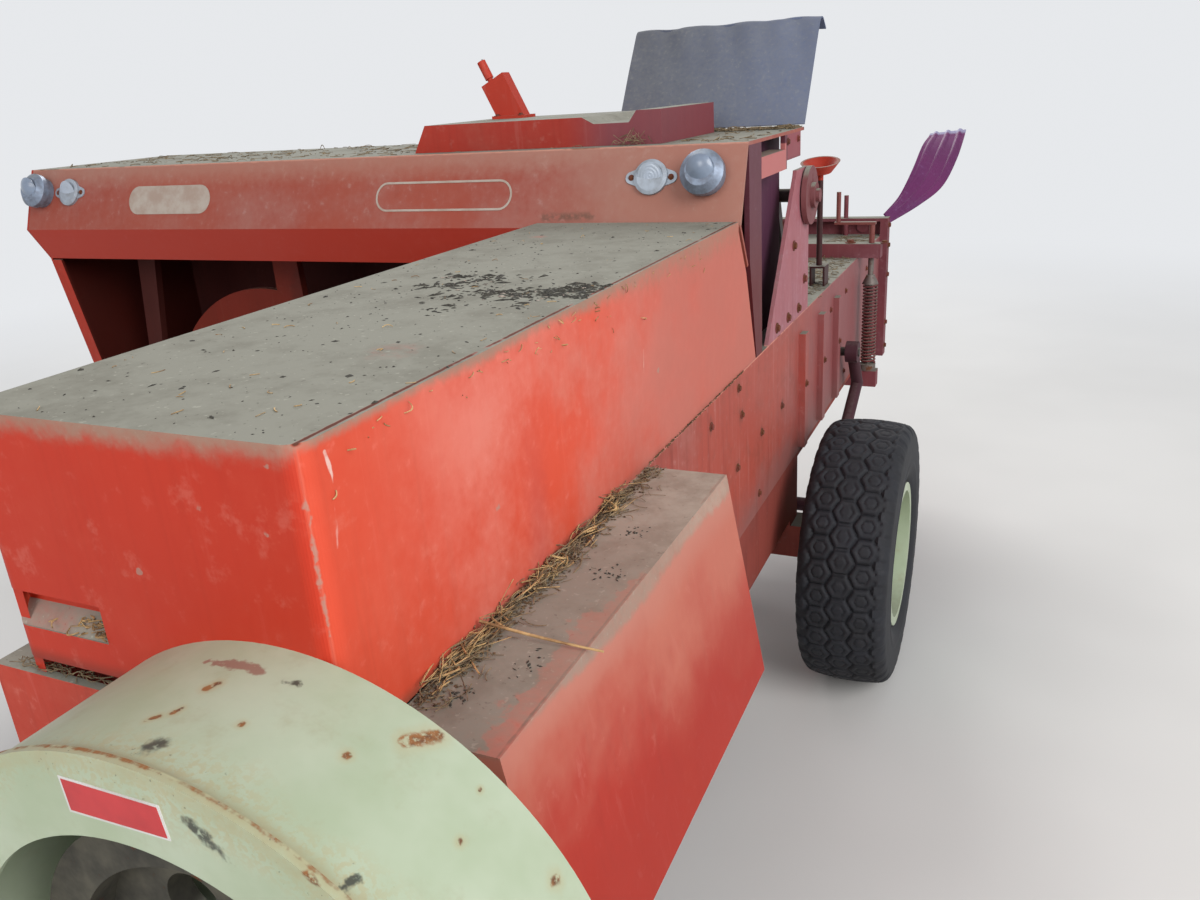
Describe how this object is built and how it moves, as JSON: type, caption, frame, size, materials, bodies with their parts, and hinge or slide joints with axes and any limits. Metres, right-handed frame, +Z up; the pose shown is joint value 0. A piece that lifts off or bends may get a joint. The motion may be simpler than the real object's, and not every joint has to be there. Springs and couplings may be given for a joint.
{
  "type": "small square baler",
  "caption": "Towed small square baler: offset bale chamber with hood and flywheel guard, feeder housing over a tined pickup, knotters, drawbar and jack.",
  "frame": {"origin": "on the ground under the middle of the overall box", "axes": "+X to the machine's left, +Y to its rear, +Z up; the drawbar eye is at the -Y end"},
  "size_m": [2.604, 5.4999, 1.8401],
  "materials": {
    "tyre": "worn black-grey rubber, dusty",
    "red_paint": "faded orange-red paint, dusty on top, scuffed at edges",
    "cream_paint": "aged cream paint with rust spots",
    "dark_paint": "dark paint, dirty",
    "bare_steel": "worn bare steel, light rust",
    "cast": "cast iron, greasy and dusty",
    "lamp": "dusty clear lens over grey body",
    "reflector": "white reflector on a pale plate",
    "maroon_paint": "dark red paint, shaded"
  },
  "bodies": {
    "chassis": {"axle": "red_paint", "frame_rails": "red_paint", "frame_cross": "red_paint", "platform_legs": "red_paint", "chamber_floor": "red_paint", "chamber_left": "red_paint", "chamber_right_front": "red_paint", "chamber_right_rear": "red_paint", "chamber_roof": "red_paint", "front_panel": "red_paint", "front_hood": "red_paint", "gearbox": "cast", "side_guard": "red_paint", "flywheel_guard": "cream_paint", "housing_top": "red_paint", "housing_back": "red_paint", "housing_end": "red_paint", "feed_floor": "red_paint", "drive_cover": "red_paint", "hand_lever": "red_paint", "packer_rail": "dark_paint", "lamps": "lamp", "reflectors": "reflector", "housing_post": "red_paint", "housing_screen": "maroon_paint", "knotter_stand": "red_paint", "knotters": "cast", "knotter_hinge": "dark_paint", "yoke_pivots": "dark_paint", "density_beams": "red_paint", "density_screws": "bare_steel", "density_springs": "red_paint", "rear_posts": "red_paint", "rear_panel": "red_paint", "bale_guide": "maroon_paint", "metering_stand": "red_paint", "twine_dish": "red_paint", "twine_box": "red_paint", "drawbar_bracket": "red_paint", "jack_sleeve": "dark_paint"},
    "left_wheel": {"left_tyre": "tyre", "left_rim": "cream_paint"},
    "right_wheel": {"right_tyre": "tyre", "right_rim": "cream_paint"},
    "flywheel_rotor": {"flywheel": "cast"},
    "packer": {"packer_forks": "red_paint"},
    "hood": {"knotter_hood": "red_paint"},
    "yoke": {"needle_yoke": "red_paint"},
    "meter": {"metering_wheel": "bare_steel"},
    "pickup": {"pickup_frame": "red_paint", "pickup_bands": "bare_steel", "wind_guard": "red_paint"},
    "reel": {"pickup_reel": "dark_paint"},
    "gauge": {"gauge_wheel": "tyre"},
    "lid": {"twine_lid": "red_paint"},
    "tongue": {"drawbar": "red_paint"},
    "jack": {"jack_leg": "bare_steel"}
  },
  "joints": [
    {"name": "left_wheel_spin", "type": "hinge", "parent": "chassis", "child": "left_wheel", "pos_m": [1.18, 0.62, 0.38], "axis": [1, 0, 0], "continuous": true},
    {"name": "right_wheel_spin", "type": "hinge", "parent": "chassis", "child": "right_wheel", "pos_m": [-1.18, 0.62, 0.38], "axis": [1, 0, 0], "continuous": true},
    {"name": "flywheel_spin", "type": "hinge", "parent": "chassis", "child": "flywheel_rotor", "pos_m": [0.904, -1.5, 0.803], "axis": [0, 1, 0], "continuous": true},
    {"name": "packer_slide", "type": "slide", "parent": "chassis", "child": "packer", "axis": [1, 0, 0], "range_m": [0, 0.38]},
    {"name": "knotter_hood_hinge", "type": "hinge", "parent": "chassis", "child": "hood", "pos_m": [0.71, 0.6973, 1.558], "axis": [-1, 0, 0], "range_deg": [0, 56]},
    {"name": "needle_swing", "type": "hinge", "parent": "chassis", "child": "yoke", "pos_m": [0.735, 1.25, 0.8], "axis": [-1, 0, 0], "range_deg": [0, 57]},
    {"name": "metering_wheel_spin", "type": "hinge", "parent": "chassis", "child": "meter", "pos_m": [0.735, 1.35, 1.13], "axis": [1, 0, 0], "continuous": true},
    {"name": "pickup_lift", "type": "hinge", "parent": "chassis", "child": "pickup", "pos_m": [-0.298, 0.243, 0.56], "axis": [1, 0, 0], "range_deg": [0, 20]},
    {"name": "pickup_reel_spin", "type": "hinge", "parent": "pickup", "child": "reel", "pos_m": [-0.298, -0.06, 0.42], "axis": [1, 0, 0], "continuous": true},
    {"name": "gauge_wheel_spin", "type": "hinge", "parent": "pickup", "child": "gauge", "pos_m": [-1.096, -0.04, 0.27], "axis": [1, 0, 0], "continuous": true},
    {"name": "twine_lid_hinge", "type": "hinge", "parent": "chassis", "child": "lid", "pos_m": [0.05, 0.71, 1.112], "axis": [1, 0, 0], "range_deg": [0, 85]},
    {"name": "drawbar_swing", "type": "hinge", "parent": "chassis", "child": "tongue", "pos_m": [0.735, -1.303, 0.366], "axis": [0, 0, 1], "range_deg": [-20, 20]},
    {"name": "jack_slide", "type": "slide", "parent": "chassis", "child": "jack", "axis": [0, 0, 1], "range_m": [0, 0.28]}
  ]
}
